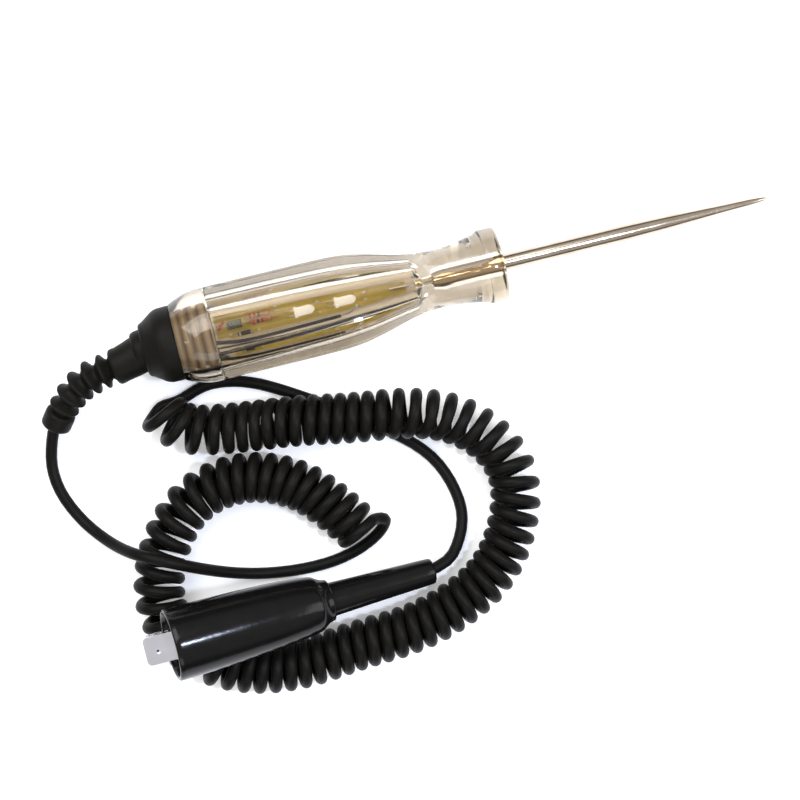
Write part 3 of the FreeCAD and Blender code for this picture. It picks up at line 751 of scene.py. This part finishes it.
TAIL_SIDE = [(0.9, 4.05), (12.0, 4.4), (24.0, 4.8), (35.4, 5.25)]
TAIL_INSIDE = [(35.4, 1.85), (7.0, 1.85), (5.0, 2.4), (0.2, 2.5), (0.0, 2.8), (0.0, 3.5), (0.3, 3.9)]
tail = turned("boot_tail_sleeve", eased(TAIL_SIDE, 4) + TAIL_INSIDE, CLIP, boot_rubber, 56, looped=True,
              crease=60.0)
fit(tail, "tester", "boot_black", "boot_tail")
dress("lead_core", lead_rubber)


# ---- The clip --------------------------------------------------------------------------------------
# Two jaws of pressed sheet steel, nickelled after pressing, turn on a headed pin. A wound spring
# on the pin holds them shut, and the lead's strands are crimped in the fixed jaw's tail.

nickel = steel_finish("bright_nickel", (0.70, 0.68, 0.68), (0.92, 0.90, 0.92), 0.14, 400.0)
DIMPLE = CLIP @ Vector((87.4, 0.4, 1.1))
DIMPLE_R = 0.9
DIMPLE_DEPTH = 30.0     # in turning marks
# the dimple's dark middle is painted shade
DIMPLE_SHADE_R = 0.4
DIMPLE_SHADE = (0.10, 0.07, 0.16)
# the moving jaw's nickel is paler and more lavender than the fixed jaw's: a painted highlight laid over the
# plating's own colour
jaw_nickel = steel_finish("punched_nickel_painted_bright", (0.80, 0.79, 0.85), (0.98, 0.97, 1.0), 0.12, 400.0,
                          dent=DIMPLE)

NOSE = 90.5             # past this lie only the jaws' front corners
NOSE_SIDE = 4.1
NOSE_ROUNDING = 1.4
UPRIGHT = 0.5           # an edge that climbs more than this is a corner
PRESSED_EDGE = math.radians(35)
WELD = 0.000002         # metres
FLUSH = math.radians(1.0)


def pressed(node_name, name, rounding, body, metal=nickel):
    """A pressed piece: the CAD node's own form, its edges and front corners rounded by the press."""
    data = nodes[node_name].data.copy()
    data.name = name
    mesh = bmesh.new()
    mesh.from_mesh(data)
    bmesh.ops.remove_doubles(mesh, verts=mesh.verts, dist=WELD)
    bmesh.ops.dissolve_limit(mesh, angle_limit=FLUSH, verts=mesh.verts, edges=mesh.edges)
    clip_inverse = CLIP.inverted()
    corners = []
    for edge in mesh.edges:
        ends = [clip_inverse @ vertex.co for vertex in edge.verts]
        in_front = all(end.x > NOSE and abs(end.y) > NOSE_SIDE for end in ends)
        if in_front and abs(ends[0].z - ends[1].z) > UPRIGHT:
            corners.append(edge)
    if corners:
        bmesh.ops.bevel(mesh, geom=corners, offset=NOSE_ROUNDING * MM, offset_type="OFFSET", segments=4,
                        profile=0.5, affect="EDGES", clamp_overlap=False)
    mesh.to_mesh(data)
    mesh.free()
    data.materials.clear()
    data.materials.append(metal)
    piece = bpy.data.objects.new(name, data)
    bpy.context.scene.collection.objects.link(piece)
    rounded = piece.modifiers.new("edge", "BEVEL")
    rounded.width = rounding * MM
    rounded.segments = 3
    rounded.limit_method = "ANGLE"
    rounded.angle_limit = PRESSED_EDGE
    data.shade_smooth()
    data.set_sharp_from_angle(angle=PRESSED_EDGE)
    return fit(piece, body, "clip_nickel", node_name)


fixed_jaw = pressed("clip_body", "fixed_jaw", 0.16, "tester")
moving_jaw = pressed("clip_jaw", "moving_jaw", 0.16, "jaw", jaw_nickel)
hinge_rivet = pressed("clip_pin", "hinge_rivet", 0.15, "tester")
lead_crimp = pressed("clip_crimp", "lead_crimp", 0.15, "tester")

SPRING_WIRE = 0.36
SPRING_TURN = 1.75
SPRING_SIDE = 0.99
SPRING_STEPS = 12               # points in one turn
SPRING_WIND = 4 * 12 + 6        # steps from leg to leg: four turns and a half
PIVOT_X = 63.0
PIVOT_Z = -0.6


def spring_points():
    """Four and a half close turns round the pin, with a leg at each end."""
    points = [(53.6, -SPRING_SIDE, 2.1), (58.0, -SPRING_SIDE, 1.7)]
    for step in range(SPRING_WIND + 1):
        angle = math.pi / 2 + 2 * math.pi * step / SPRING_STEPS
        y = -SPRING_SIDE + 2 * SPRING_SIDE * step / SPRING_WIND
        points.append((PIVOT_X + SPRING_TURN * math.cos(angle), y, PIVOT_Z + SPRING_TURN * math.sin(angle)))
    points += [(58.5, SPRING_SIDE, -3.9), (54.0, SPRING_SIDE, -5.1)]
    return [CLIP @ Vector(point) for point in points]


wound = spline_curve("wound", spring_points(), 3)
wound.data.bevel_depth = SPRING_WIRE * MM
wound.data.bevel_resolution = 3
wound.data.use_fill_caps = True
spring_mesh = bpy.data.meshes.new_from_object(wound)
bpy.data.objects.remove(wound)
spring_mesh.materials.clear()
spring_steel = steel_finish("spring_wire", (0.30, 0.29, 0.27), (0.52, 0.50, 0.47), 0.3, 3000.0)
spring_mesh.materials.append(spring_steel)
spring_mesh.shade_smooth()
spring = bpy.data.objects.new("jaw_spring", spring_mesh)
bpy.context.scene.collection.objects.link(spring)
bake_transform(spring)
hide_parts("clip_spring")

# the lead is measured here, after everything that is fixed on it
lead_travelled = points_on(lead_points, LEAD_SMOOTHNESS)[1]
